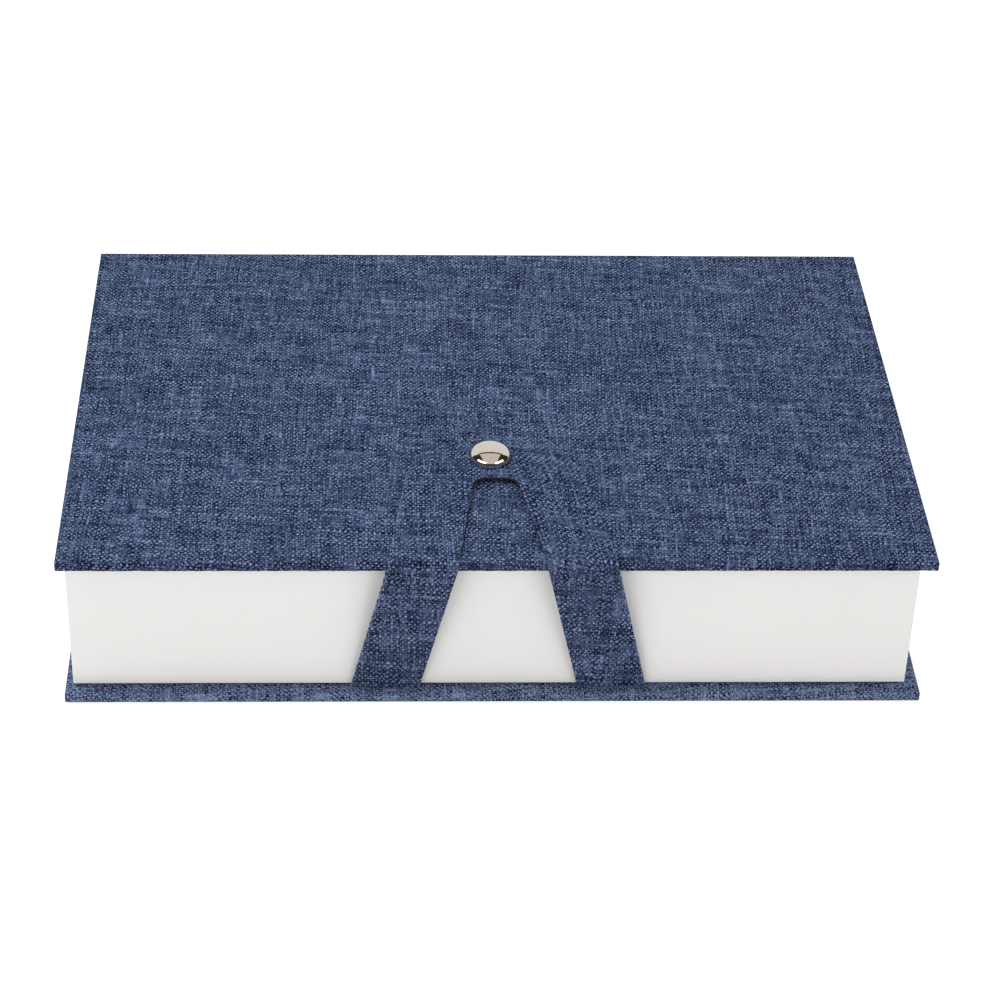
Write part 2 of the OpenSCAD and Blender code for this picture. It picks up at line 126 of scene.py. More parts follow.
class Graph:
    """A material's nodes, with short calls for the ones used often."""

    def __init__(self, name):
        self.mat = bpy.data.materials.new(name)
        self.mat.use_nodes = True
        self.tree = self.mat.node_tree
        self.tree.nodes.clear()
        self.out = self.tree.nodes.new("ShaderNodeOutputMaterial")
        self.bsdf = self.tree.nodes.new("ShaderNodeBsdfPrincipled")
        self.link(self.bsdf.outputs[0], self.out.inputs["Surface"])

    def link(self, a, b):
        self.tree.links.new(a, b)

    def node(self, kind, settings=None, **inputs):
        n = self.tree.nodes.new(kind)
        for key, value in (settings or {}).items():
            setattr(n, key, value)
        for key, value in inputs.items():
            socket = n.inputs[key.replace("_", " ")]
            self.put(socket, value)
        return n

    def put(self, socket, value):
        if isinstance(value, bpy.types.NodeSocket):
            self.link(value, socket)
        else:
            socket.default_value = value

    def math(self, op, a, b=0.0, c=0.0, clamp=False):
        n = self.tree.nodes.new("ShaderNodeMath")
        n.operation = op
        n.use_clamp = clamp
        for i, value in enumerate((a, b, c)):
            self.put(n.inputs[i], value)
        return n.outputs[0]

    def vector(self, x=0.0, y=0.0, z=0.0):
        n = self.node("ShaderNodeCombineXYZ", X=x, Y=y, Z=z)
        return n.outputs[0]

    def split(self, v):
        n = self.node("ShaderNodeSeparateXYZ", Vector=v)
        return n.outputs

    def noise(self, v, scale, detail=2.0, rough=0.5):
        n = self.node("ShaderNodeTexNoise", Vector=v, Scale=scale, Detail=detail, Roughness=rough)
        return n.outputs

    def ramp(self, t, stops):
        n = self.tree.nodes.new("ShaderNodeValToRGB")
        self.link(t, n.inputs[0])
        elements = n.color_ramp.elements
        while len(elements) < len(stops):
            elements.new(0.5)
        for e, (pos, colour) in zip(elements, stops):
            e.position = pos
            e.color = (*colour, 1)
        return n.outputs[0]

    def mix(self, t, a, b):
        n = self.tree.nodes.new("ShaderNodeMix")
        n.data_type = "RGBA"
        self.put(n.inputs[0], t)
        for socket, value in ((n.inputs[6], a), (n.inputs[7], b)):
            self.put(socket, (*value, 1) if isinstance(value, tuple) and len(value) == 3 else value)
        return n.outputs[2]

    def scale(self, v, s):
        n = self.tree.nodes.new("ShaderNodeVectorMath")
        n.operation = "SCALE"
        self.put(n.inputs[0], v)
        self.put(n.inputs[3], s)
        return n.outputs[0]

    def add(self, a, b):
        n = self.tree.nodes.new("ShaderNodeVectorMath")
        n.operation = "ADD"
        self.put(n.inputs[0], a)
        self.put(n.inputs[1], b)
        return n.outputs[0]

    def object_mm(self):
        n = self.node("ShaderNodeTexCoord")
        return self.scale(n.outputs["Object"], 1 / MM)

    def uv_mm(self):
        n = self.node("ShaderNodeUVMap", {"uv_map": UV_NAME})
        return n.outputs[0]

    def bump(self, height, distance_mm, strength=1.0):
        n = self.node("ShaderNodeBump", Height=height, Distance=distance_mm * MM, Strength=strength)
        self.link(n.outputs[0], self.bsdf.inputs["Normal"])

    def set(self, **values):
        for key, value in values.items():
            self.put(self.bsdf.inputs[key.replace("_", " ")], value)


# ---------------------------------------------------------------- materials

# Tones of the threads from dark to light
NAVY = ((0.0027, 0.0048, 0.0205), (0.0168, 0.0262, 0.0668), (0.0545, 0.0762, 0.1470),
        (0.1248, 0.1620, 0.2740), (0.2462, 0.3050, 0.4700))
# How far each cause moves a thread's tone: its own stretches in warp and weft, stretches
# shared with its neighbours, single fibres, the painted shade and highlight of its rounded
# shape, the painted shade and highlight of the crossings' lean, and how much the strength
# of these two painted marks varies
WARP_GAIN, WEFT_GAIN, SHARED, FIBRES, SHADE, CHECK, CRISP = 2.6, 2.8, 0.25, 0.6, 0.85, 0.24, 5.0
# Threads for each millimetre of U and V: warp count, weft count
THREADS = ((0.978, -0.03), (0.075, 0.83))
# Centre of a thread's own noise, which is not quite half way
OWN_MIDDLE = 0.525


def linen(name, lift, rim, seed=0.0):
    """Plain-woven mottled linen. The weave follows the UV map, in millimetres.

    Every thread has its own width and its own light and dark stretches, some of them long,
    and shows as a rounded dash where it lies on top: a painted highlight along its crown and
    painted shade at its sides and between the threads. Dashes join up in short slants, and
    this painted shade and highlight is strong along some threads and faint along others.
    lift makes the whole cloth lighter, and rim the edges that the mesh marks.
    """
    g = Graph(name)
    uv = g.uv_mm()
    shift = None
    for scale, reach in ((0.035, 3.2), (0.3, 0.9), (1.0, 1.0)):
        move = g.scale(g.noise(uv, scale, 1.0)[1], reach)
        shift = g.add(shift, move) if shift else move
    u, v, _ = g.split(g.add(uv, shift))

    def count(row, place):
        even = g.math("ADD", g.math("MULTIPLY", u, row[0]), g.math("MULTIPLY", v, row[1]))
        width = g.noise(g.vector(g.math("MULTIPLY", even, 0.45), 0.0, seed + place), 1.0, 0.0)[0]
        return g.math("MULTIPLY_ADD", width, 1.2, even)

    def along(place, thread, run, fine, detail=2.0):
        """Noise that is drawn out along a thread."""
        at = g.vector(g.math("MULTIPLY", run, fine), g.math("MULTIPLY", thread, 5.3), seed + place)
        return g.noise(at, 1.0, detail, 0.6)[0]

    def own(place, thread, run):
        return g.math("MULTIPLY_ADD", along(place, thread, run, 0.35), 0.4,
                      g.math("MULTIPLY", along(place + 4, thread, run, 0.06), 0.65))

    def choose(t, a, b):
        n = g.node("ShaderNodeMix", Factor=t)
        g.put(n.inputs[2], a)
        g.put(n.inputs[3], b)
        return n.outputs[0]

    cu, cv = count(THREADS[0], 21.0), count(THREADS[1], 27.0)
    iu, iv = g.math("FLOOR", cu), g.math("FLOOR", cv)
    slant = g.math("MULTIPLY_ADD", g.noise(uv, 0.5, 0.0)[0], 2.5, -1.15)
    slant = g.math("MINIMUM", g.math("MAXIMUM", slant, -0.5), 0.5)
    rising = g.math("COSINE", g.math("MULTIPLY", g.math("SUBTRACT", cu, cv), math.pi))
    falling = g.math("COSINE", g.math("MULTIPLY", g.math("ADD", cu, cv), math.pi))
    cross = g.math("SUBTRACT", g.math("MULTIPLY", rising, g.math("ADD", slant, 0.5)),
                   g.math("MULTIPLY", falling, g.math("SUBTRACT", 0.5, slant)))
    # Rows moved up or down at each crossing, so that the painted highlight along each row zigzags
    waved = g.math("SINE", g.math("MULTIPLY", g.math("MULTIPLY_ADD", cross, 0.25, cv), math.pi))
    across_u = g.math("ABSOLUTE", g.math("SINE", g.math("MULTIPLY", cu, math.pi)))
    across_v = g.math("ABSOLUTE", waved)
    # How strongly the painted shade and highlight of the threads show, changing along each thread
    crisp = g.math("MULTIPLY_ADD", along(41.0, iv, u, 0.07, 1.0), CRISP,
                   g.math("MULTIPLY_ADD", along(47.0, iu, v, 0.07, 1.0), 0.6 * CRISP,
                          1 - 0.8 * CRISP))
    crisp = g.math("MINIMUM", g.math("MAXIMUM", crisp, 0.1), 3.0)

    # The lighter thread shows more of itself at each crossing
    warp_own, weft_own = own(0.0, iu, v), own(9.0, iv, u)
    edge = g.math("MULTIPLY_ADD", cross, 2.0, g.math("SUBTRACT", warp_own, weft_own))
    warp_up = g.math("ADD", edge, 0.5, clamp=True)
    tone = choose(warp_up, *(g.math("MULTIPLY_ADD", own_tone, gain, 0.5 + lift - OWN_MIDDLE * gain)
                             for own_tone, gain in ((weft_own, WEFT_GAIN), (warp_own, WARP_GAIN))))
    height = choose(warp_up, *(g.math("MULTIPLY", g.math("POWER", across, 1.4),
                                      g.math("POWER", lengthwise, 0.4))
                               for across, lengthwise in ((across_v, across_u),
                                                          (across_u, across_v))))
    # Painted shade and highlight of the weave: lighter on each thread's crown, darker at its sides
    # and between threads, and lighter or darker depending on which thread lies on top
    thread_shading = g.math("MULTIPLY_ADD", g.math("SUBTRACT", height, 0.55), SHADE,
                    g.math("MULTIPLY", cross, -CHECK))
    tone = g.math("MULTIPLY_ADD", thread_shading, crisp, tone)

    # Stretches that neighbouring threads share, and single fibres
    for place, fu, fv in ((3.0, 0.22, 0.05), (8.0, 0.05, 0.22)):
        at = g.vector(g.math("MULTIPLY", u, fu), g.math("MULTIPLY", v, fv), seed + place)
        tone = g.math("MULTIPLY_ADD", g.noise(at, 1.0, 2.0, 0.6)[0], SHARED,
                      g.math("SUBTRACT", tone, SHARED / 2))
    fibre = g.noise(uv, 2.5, 1.0)
    tone = g.math("MULTIPLY_ADD", fibre[0], FIBRES, g.math("SUBTRACT", tone, FIBRES / 2))
    marked = g.node("ShaderNodeAttribute", {"attribute_name": "rim"}).outputs["Fac"]
    tone = g.math("MULTIPLY_ADD", marked, rim, tone, clamp=True)
    colour = g.ramp(tone, [(i / 4, stop) for i, stop in enumerate(NAVY)])
    speckle = g.node("ShaderNodeVectorMath", {"operation": "MULTIPLY_ADD"})
    g.put(speckle.inputs[0], fibre[1])
    g.put(speckle.inputs[1], (0.5, 0.35, 0.25))
    g.put(speckle.inputs[2], (0.75, 0.825, 0.875))
    speckled = g.node("ShaderNodeVectorMath", {"operation": "MULTIPLY"})
    g.put(speckled.inputs[0], colour)
    g.put(speckled.inputs[1], speckle.outputs[0])
    g.set(Base_Color=speckled.outputs[0],
          Roughness=0.9, Sheen_Weight=0.02, Sheen_Roughness=0.5, Specular_IOR_Level=0.05)
    g.bump(g.math("ADD", height, g.math("MULTIPLY", fibre[0], 0.3)), 0.12, 0.6)
    return g.mat


def paper(name, colour):
    """Matte paper with faint ribs, fibres and slight unevenness."""
    rib_pitch, rib_height = 0.9, 0.35
    tint = (0.03, 0.03, 0.035)
    g = Graph(name)
    p = g.object_mm()
    z = g.split(p)[2]
    fibre = g.noise(p, 2.5, 4.0, 0.6)[0]
    cloud = g.noise(p, 0.02, 3.0)[0]
    rib_at = g.math("ADD", g.math("MULTIPLY", z, 2 * math.pi / rib_pitch),
                    g.math("MULTIPLY", g.noise(p, 0.15, 1.0)[0], 2.5))
    rib = g.math("MULTIPLY", g.math("SINE", rib_at), rib_height)
    shade = tuple(c - t for c, t in zip(colour, tint))
    tone = g.math("ADD", g.math("MULTIPLY", cloud, 0.7), g.math("MULTIPLY", fibre, 0.3))
    g.set(Base_Color=g.mix(tone, shade, colour), Roughness=0.78, Specular_IOR_Level=0.3)
    g.bump(g.math("ADD", g.math("MULTIPLY", fibre, 0.5), g.math("MULTIPLY", rib, 0.5)), 0.04, 0.5)
    return g.mat


def card(name, colour, dark):
    """Grey-brown board with flecks."""
    g = Graph(name)
    p = g.object_mm()
    fleck = g.noise(p, 1.6, 5.0, 0.7)[0]
    layered = g.vector(*[g.math("MULTIPLY", c, s) for c, s in zip(g.split(p), (0.3, 0.3, 6.0))])
    layer = g.noise(layered, 1.0, 2.0)[0]
    tone = g.math("ADD", g.math("MULTIPLY", fleck, 0.6), g.math("MULTIPLY", layer, 0.4))
    g.set(Base_Color=g.ramp(tone, [(0.3, dark), (0.7, colour)]), Roughness=0.9,
          Specular_IOR_Level=0.2)
    g.bump(tone, 0.1, 0.6)
    return g.mat


def metal(name, colour, rough):
    """Plated metal with a slightly uneven polish."""
    g = Graph(name)
    p = g.object_mm()
    cloud = g.noise(p, 0.6, 3.0)[0]
    fine = g.noise(p, 6.0, 3.0)[0]
    tone = g.math("ADD", g.math("MULTIPLY", cloud, 0.6), g.math("MULTIPLY", fine, 0.4))
    dull = tuple(c * 0.93 for c in colour)
    low, high = rough
    g.set(Base_Color=g.mix(tone, dull, colour), Metallic=1.0,
          Roughness=g.math("MULTIPLY_ADD", tone, high - low, low))
    g.bump(fine, 0.03, 0.1)
    return g.mat


def glue(name):
    """Dried bookbinder's glue."""
    g = Graph(name)
    p = g.object_mm()
    tone = g.noise(p, 0.8, 3.0)[0]
    g.set(Base_Color=g.mix(tone, (0.62, 0.56, 0.42), (0.75, 0.7, 0.58)), Roughness=0.45)
    g.bump(tone, 0.2, 0.4)
    return g.mat


# Cloth of the lid and spine. Its rim of -0.07 darkens it towards the rounded edges: painted shade
# along them
CLOTH = linen("linen", lift=0.03, rim=-0.07)
# Cloth of the base: the same linen painted lighter, lift 0.24 against the lid's 0.03, and a little
# lighter again at its edges: painted light on the base's lip, which the white tray and the front
# lights brighten
CLOTH_BASE_LIT = linen("linen_base_lit", lift=0.24, rim=0.04, seed=20.0)
# Cloth of the strap. Its rim of 0.22 lightens it towards the outer edge: a painted highlight where
# the edge catches the light, with the lighter threads of the cut edge
STRAP = linen("linen_strap", lift=0.01, rim=0.22, seed=40.0)
PAPER = paper("white_paper", (0.94, 0.908, 0.888))
CARD = card("board", (0.40, 0.33, 0.24), (0.22, 0.17, 0.12))
# Card inside the strap, near black: partly its own dark tone, partly painted shade, since it also
# colours the whole inner cut edge of the strap as a painted shadow line
CORE = card("strap_card", (0.06, 0.05, 0.05), (0.02, 0.018, 0.02))
NICKEL = metal("nickel", (0.80, 0.745, 0.69), (0.07, 0.12))
PLATED = metal("plated_brass", (0.70, 0.67, 0.62), (0.18, 0.3))
STEEL = metal("spring_steel", (0.42, 0.42, 0.43), (0.2, 0.32))
GLUE = glue("glue")

# ---------------------------------------------------------------- mesh helpers

def make_object(name, points, faces, uvs=None, materials=(), slots=None, rim=None):
    """Mesh object from points in millimetres. uvs is one (u, v) for each corner of each face,
    and rim one number for each point: 1 along the edges of the cloth."""
    mesh = bpy.data.meshes.new(name)
    mesh.from_pydata([tuple(float(c) * MM for c in p) for p in points], [], faces)
    if uvs is not None:
        layer = mesh.uv_layers.new(name=UV_NAME)
        layer.data.foreach_set("uv", np.array(uvs, np.float32).ravel())
    for m in materials:
        mesh.materials.append(m)
    if slots is not None:
        mesh.polygons.foreach_set("material_index", np.array(slots, np.int32))
    if rim is not None:
        mesh.attributes.new("rim", "FLOAT", "POINT").data.foreach_set("value", rim)
    mesh.polygons.foreach_set("use_smooth", [True] * len(mesh.polygons))
    mesh.update()
    obj = bpy.data.objects.new(name, mesh)
    bpy.context.scene.collection.objects.link(obj)
    return obj


def clean(obj, sharp=35.0):
    """Merges coincident points, turns the faces outwards and marks the sharp edges."""
    bm = bmesh.new()
    bm.from_mesh(obj.data)
    bmesh.ops.remove_doubles(bm, verts=bm.verts, dist=1e-7)
    bmesh.ops.dissolve_degenerate(bm, edges=bm.edges, dist=1e-8)
    bmesh.ops.recalc_face_normals(bm, faces=bm.faces)
    for e in bm.edges:
        if len(e.link_faces) == 2 and e.calc_face_angle(0) > math.radians(sharp):
            e.smooth = False
    bm.to_mesh(obj.data)
    bm.free()
    return obj


def spread(a, b, n):
    """n + 1 even steps from a to b."""
    return [a + (b - a) * i / n for i in range(n + 1)]


def arc(cx, cy, r, from_deg, to_deg, n):
    """n + 1 points of an arc."""
    return [(cx + r * math.cos(math.radians(t)), cy + r * math.sin(math.radians(t)))
            for t in spread(from_deg, to_deg, n)]


# ---------------------------------------------------------------- covered boards

EDGE_STEPS = 5
BOARD_COLUMNS, BOARD_ROWS = 280, 14
END_ROWS = (2.0, 3.5, 6.0)
RIM_FADE = 1.6
ROUGH_FADE, ROUGH_SCALE = 0.4, 0.9


def covered_board(name, a, b, c, place, rounded_b0, rounded_b1, window=None, v_of=lambda b: b,
                  cloth=CLOTH):
    """Board wrapped in cloth, as one closed mesh.

    a, b and c are ranges: width, length and thickness, with the outer face at c[1]. The edges
    at both ends of a are rounded, and those at the ends of b where asked. window is the range
    of b where the cloth stops short of the middle of the inner face. place maps a point
    (a, b, c) to the row frame, and v_of maps b to the cloth's second UV coordinate.
    """
    half = (a[1] - a[0]) / 2
    mid = (a[0] + a[1]) / 2
    thick = c[1] - c[0]
    inner_flat = spread(b[1], b[0], BOARD_ROWS)
    inner_flat += [end + step * sign for end, sign in ((b[0], 1), (b[1], -1))
                   for step in END_ROWS]
    inner_flat.sort(reverse=True)
    window_a = half - TURN_IN
    depth = CLOTH_T + 0.05

    def profile(inset, recess):
        """Closed outline in (b, c) of the section whose edges stand back by inset."""
        r = EDGE_R - inset
        b0 = b[0] + (inset if rounded_b0 else 0)
        b1 = b[1] - (inset if rounded_b1 else 0)
        c0, c1 = c[0] + inset, c[1] - inset
        points = []
        if rounded_b1:
            points += arc(b1 - r, c0 + r, r, 0, -90, EDGE_STEPS)
        else:
            points.append((b1, c0 + (depth if recess and window[1] >= b[1] else 0)))
        start = b1 - r if rounded_b1 else b1
        end = b0 + r if rounded_b0 else b0
        stops = [t for t in inner_flat if end + 1 < t < start - 1]
        if window:
            for w in sorted(window, reverse=True):
                stops = [t for t in stops if abs(t - w) > 1.5]
            for t in stops:
                if window[0] < t < window[1]:
                    points.append((t, c0 + (depth if recess else 0)))
                elif t > window[1]:
                    points.append((t, c0))
            if window[1] < b[1]:
                first_flat = EDGE_STEPS + 1 if rounded_b1 else 1
                where = next((i for i, p in enumerate(points)
                              if i >= first_flat and p[0] < window[1]
                              and p[1] <= c0 + depth + 1e-9), len(points))
                points[where:where] = [(window[1], c0), (window[1], c0 + (depth if recess else 0))]
            points += [(window[0], c0 + (depth if recess else 0)), (window[0], c0)]
            points += [(t, c0) for t in stops if t < window[0]]
        else:
            points += [(t, c0) for t in stops]
        if rounded_b0:
            points += arc(b0 + r, c0 + r, r, -90, -180, EDGE_STEPS)
            points += arc(b0 + r, c1 - r, r, 180, 90, EDGE_STEPS)
        else:
            points += [(b0, c0), (b0, c1)]
        points += [(t, c1) for t in reversed(stops)]
        if rounded_b1:
            points += arc(b1 - r, c1 - r, r, 90, 0, EDGE_STEPS)
        else:
            points.append((b1, c1))
        return points

    sections = []
    for i in range(EDGE_STEPS + 1):
        t = math.radians(90 * i / EDGE_STEPS)
        sections.append((half - EDGE_R + EDGE_R * math.cos(t), EDGE_R * (1 - math.sin(t)), False))
    flats = spread(half - EDGE_R, -half + EDGE_R, BOARD_COLUMNS)[1:-1]
    inside = [x for x in flats if abs(x) < window_a - 2]
    if window:
        sections += [(x, 0, False) for x in flats if x > window_a + 2]
        sections += [(window_a, 0, False), (window_a, 0, True)]
        sections += [(x, 0, True) for x in inside]
        sections += [(-window_a, 0, True), (-window_a, 0, False)]
        sections += [(x, 0, False) for x in flats if x < -window_a - 2]
    else:
        sections += [(x, 0, False) for x in flats]
    for i in range(EDGE_STEPS, -1, -1):
        t = math.radians(90 * i / EDGE_STEPS)
        sections.append((-half + EDGE_R - EDGE_R * math.cos(t), EDGE_R * (1 - math.sin(t)), False))

    points, local = [], []
    rings = [profile(min(inset, EDGE_R - 0.01), recess) for _, inset, recess in sections]
    n = len(rings[0])
    for (x, _, _), ring in zip(sections, rings):
        assert len(ring) == n, (name, len(ring), n)
        for pb, pc in ring:
            local.append((x, pb, pc))
    faces = []
    for s in range(len(sections) - 1):
        for i in range(n):
            j = (i + 1) % n
            faces.append((s * n + i, s * n + j, (s + 1) * n + j, (s + 1) * n + i))
    last = (len(sections) - 1) * n
    faces.append(tuple(reversed(range(n))))
    faces.append(tuple(range(last, last + n)))

    def developed(value, edge, pc):
        """Distance along the cloth from the middle of the outer face, round the edge."""
        drop = c[1] - pc
        return value + drop if pc > c[0] + thick / 2 else 2 * edge - value + drop

    uvs = []
    for f in faces:
        pts = [local[k] for k in f]
        fa = sum(p[0] for p in pts) / len(pts)
        fb = sum(p[1] for p in pts) / len(pts)
        fc = sum(p[2] for p in pts) / len(pts)
        flat_inner = fc < c[0] + 0.6 and abs(fa) < half - EDGE_R
        near_side = abs(fa) > half - EDGE_R
        near_b0 = rounded_b0 and fb < b[0] + EDGE_R
        near_b1 = rounded_b1 and fb > b[1] - EDGE_R
        if flat_inner and not (near_b0 or near_b1):
            near_side = half - abs(fa) < min(fb - b[0] if rounded_b0 else 1e9,
                                             b[1] - fb if rounded_b1 else 1e9)
            near_b0 = rounded_b0 and not near_side and fb < (b[0] + b[1]) / 2
            near_b1 = rounded_b1 and not near_side and not near_b0
        for pa, pb, pc in pts:
            if near_side:
                uvs.append((mid + math.copysign(developed(abs(pa), half, pc), fa), v_of(pb)))
            elif near_b0:
                uvs.append((mid + pa, v_of(-developed(-pb, -b[0], pc))))
            elif near_b1:
                uvs.append((mid + pa, v_of(developed(pb, b[1], pc))))
            else:
                uvs.append((mid + pa, v_of(pb)))
    # rim is 1 at the cloth's edges and fades inwards: the lid's cloth is painted darker there as
    # painted shade, the base's cloth lighter as painted light
    rim = []
    for pa, pb, pc in local:
        near = half - abs(pa)
        if rounded_b0:
            near = min(near, pb - b[0])
        if rounded_b1:
            near = min(near, b[1] - pb)
        rim.append(math.exp(-max(near, 0.0) / RIM_FADE))
        uneven = (noise.noise(Vector((pa * ROUGH_SCALE, pb * ROUGH_SCALE, pc)))
                  * EDGE_ROUGH * math.exp(-near / ROUGH_FADE))
        move = uneven * (1 - (pc - c[0]) / thick) if rounded_b0 else 0.0
        points.append(place(mid + pa, pb + move, pc + move))
    obj = make_object(name, points, faces, uvs, [cloth], rim=rim)
    return clean(obj)


cover_lid = covered_board(
    "lid_cover", (LID_LOW[0], LID_HIGH[0]), (LID_LOW[1], LID_HIGH[1]), (LID_LOW[2], LID_HIGH[2]),
    lambda a, b, c: (a, b, c), True, False, window=(LID_LOW[1] + TURN_IN, LID_HIGH[1] + 1))
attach(cover_lid, "lid")
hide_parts("lid_cloth")

cover_base = covered_board(
    "base_cover", (BASE_LOW[0], BASE_HIGH[0]), (BASE_LOW[1], BACK_Y), (0.0, BASE_HIGH[2]),
    lambda a, b, c: (a, b, BASE_HIGH[2] - c), True, True,
    window=(BASE_LOW[1] + TURN_IN, SPINE_LOW[1]), cloth=CLOTH_BASE_LIT)
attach(cover_base, "case")
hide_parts("base_cloth")

HINGE_R = HINGE_HIGH[1] - LID_HIGH[1]
HINGE_ARC = HINGE_R * math.pi / 2
HINGE_STRAIGHT = LID_TOP - HINGE_R - SPINE_HIGH[2]
V_SPINE_TOP = LID_HIGH[1] + HINGE_ARC + HINGE_STRAIGHT

cover_spine = covered_board(
    "spine_cover", (SPINE_LOW[0], SPINE_HIGH[0]), (BASE_HIGH[2], SPINE_HIGH[2]),
    (SPINE_LOW[1], BACK_Y), lambda a, b, c: (a, c, b), False, False,
    window=(BASE_HIGH[2] - 1, SPINE_HIGH[2] + 1),
    v_of=lambda b: V_SPINE_TOP + SPINE_HIGH[2] - b)
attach(cover_spine, "case")
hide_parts("spine_cloth")

# ---------------------------------------------------------------- cloth of the lid's hinge

def hinge_strip():
    """Cloth between spine and lid: a straight rise and a quarter turn, CLOTH_T thick."""
    rise, turn, columns = 16, 14, 60
    heights = spread(SPINE_HIGH[2], LID_TOP - HINGE_R, rise)

    def face(r):
        """Points (y, z, v) of the cloth's face at radius r, from the spine to the lid."""
        points = [(LID_HIGH[1] + r, z, V_SPINE_TOP - (z - SPINE_HIGH[2])) for z in heights]
        for t in spread(0, 90, turn)[1:]:
            points.append((LID_HIGH[1] + r * math.cos(math.radians(t)),
                           LID_TOP - HINGE_R + r * math.sin(math.radians(t)),
                           LID_HIGH[1] + HINGE_ARC * (1 - t / 90)))
        return points

    ring = face(HINGE_R) + face(HINGE_R - CLOTH_T)[::-1]
    n = len(ring)
    # The two ends thin out towards the edge of the cloth
    thinned = ((0.0, 0.16), (0.12, 0.05), (0.4, 0.0))
    xs = spread(LID_LOW[0], LID_HIGH[0], columns)
    xs = ([xs[0] + d for d, _ in thinned] + xs[1:-1] + [xs[-1] - d for d, _ in thinned[::-1]])
    pull = {k: p for i, (_, p) in enumerate(thinned) for k in (i, len(xs) - 1 - i)}
    points, faces, uvs = [], [], []
    for k, x in enumerate(xs):
        p = pull.get(k, 0.0)
        for i, (y, z, v) in enumerate(ring):
            j = n - 1 - i
            oy, oz, _ = ring[j]
            points.append((x, y + (oy - y) * p / CLOTH_T, z + (oz - z) * p / CLOTH_T))
    for k in range(len(xs) - 1):
        for i in range(n):
            j = (i + 1) % n
            faces.append((k * n + i, (k + 1) * n + i, (k + 1) * n + j, k * n + j))
            for kk, ii in ((k, i), (k + 1, i), (k + 1, j), (k, j)):
                uvs.append((xs[kk], ring[ii][2]))
    for k in (0, len(xs) - 1):
        for i in range(n // 2 - 1):
            f = (k * n + i, k * n + i + 1, k * n + n - 2 - i, k * n + n - 1 - i)
            f = f if k == 0 else f[::-1]
            faces.append(f)
            uvs += [(xs[k], ring[q - k * n][2]) for q in f]
    obj = make_object("hinge_strip", points, faces, uvs, [CLOTH])
    return clean(obj)


hinge = hinge_strip()
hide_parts("hinge_cloth")
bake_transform(hinge)

# ---------------------------------------------------------------- tray's paper

def tray_paper():
    """Paper folded under the floor, up the outside, over the rim and down inside."""
    t, fold = FLOOR_PAPER_LOW[0] - TRAY_LOW[0], 15.0
    skin, foot_r, rim_r = 0.2, 0.5, 0.45
    corner, steps = 0.6, 5
    z0, z1, zf = TRAY_LOW[2], TRAY_HIGH[2], FLOOR_PAPER_LOW[2]
    out = [(-fold, z0), (-fold / 2, z0)]
    out += arc(-foot_r, z0 + foot_r, foot_r, -90, 0, 5)
    out += [(0, z) for z in spread(z0 + foot_r, z1 - rim_r, 14)[1:-1]]
    out += arc(-rim_r, z1 - rim_r, rim_r, 0, 90, 5)
    out += arc(-t + rim_r, z1 - rim_r, rim_r, 90, 180, 5)
    out += [(-t, z) for z in spread(z1 - rim_r, zf, 8)[1:]]
    back = [(-t + skin, zf), (-t + skin, z1 - rim_r), (-t + rim_r, z1 - skin),
            (-rim_r, z1 - skin), (-skin, z1 - rim_r), (-skin, z0 + foot_r),
            (-foot_r, z0 + skin), (-fold, z0 + skin)]
    ring = out + back
    hx, hy = (TRAY_HIGH[0] - TRAY_LOW[0]) / 2, (TRAY_HIGH[1] - TRAY_LOW[1]) / 2
    cx, cy = (TRAY_HIGH[0] + TRAY_LOW[0]) / 2, (TRAY_HIGH[1] + TRAY_LOW[1]) / 2
    n = len(ring)
    points = []
    stations = []
    for q in range(4):
        for k in range(steps + 1):
            stations.append((q, 90 * q + 90 * k / steps, None))
        stations += [(q, 90 * (q + 1), f) for f in spread(0, 1, 12)[1:-1]]
    signs = [(1, 1), (-1, 1), (-1, -1), (1, -1)]
    for q, deg, f in stations:
        for o, z in ring:
            r = max(corner + o, 0.03)
            ex, ey = hx + o - r, hy + o - r
            s = signs[q]
            a = math.radians(deg)
            p = (s[0] * ex + r * math.cos(a), s[1] * ey + r * math.sin(a))
            if f is not None:
                s2 = signs[(q + 1) % 4]
                p2 = (s2[0] * ex + r * math.cos(a), s2[1] * ey + r * math.sin(a))
                p = (p[0] + (p2[0] - p[0]) * f, p[1] + (p2[1] - p[1]) * f)
            points.append((cx + p[0], cy + p[1], z))
    faces = []
    m = len(stations)
    for k in range(m):
        k2 = (k + 1) % m
        for i in range(n):
            j = (i + 1) % n
            faces.append((k * n + i, k2 * n + i, k2 * n + j, k * n + j))
    obj = make_object("tray_paper", points, faces, None, [PAPER])
    return clean(obj)


paper_skin = tray_paper()
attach(paper_skin, "case")
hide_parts("tray_wrap")

# ---------------------------------------------------------------- strap

LEAN_VECTOR = CREASE_AXIS - FOOT_AXIS
LEAN = (math.atan2(-LEAN_VECTOR[0], LEAN_VECTOR[1])
        - math.asin((FOOT_R - CREASE_R) / np.linalg.norm(LEAN_VECTOR)))
ALONG = np.array([-math.sin(LEAN), math.cos(LEAN)])
OUTWARD = np.array([-math.cos(LEAN), -math.sin(LEAN)])
LEG_L = float(LEAN_VECTOR @ ALONG)
LEG_SPLAY = (FOOT_X - CREASE_X) / LEG_L
MID_T = STRAP_T / 2
FOOT_TURN = math.pi / 2 - LEAN
CREASE_TURN = math.pi / 2 + LEAN
# Distances along the strap from the start of the foot fold
V_LEG = (FOOT_R + MID_T) * FOOT_TURN
V_CREASE = V_LEG + LEG_L
V_CROWN = V_CREASE + (CREASE_R + MID_T) * CREASE_TURN
CLIMB_H = SNAP_UNDER - CROWN_Z
CLIMB_START = CLIMB_END - CLIMB_L
CLIMB_RADIUS = (CLIMB_L ** 2 + CLIMB_H ** 2) / (4 * CLIMB_H)


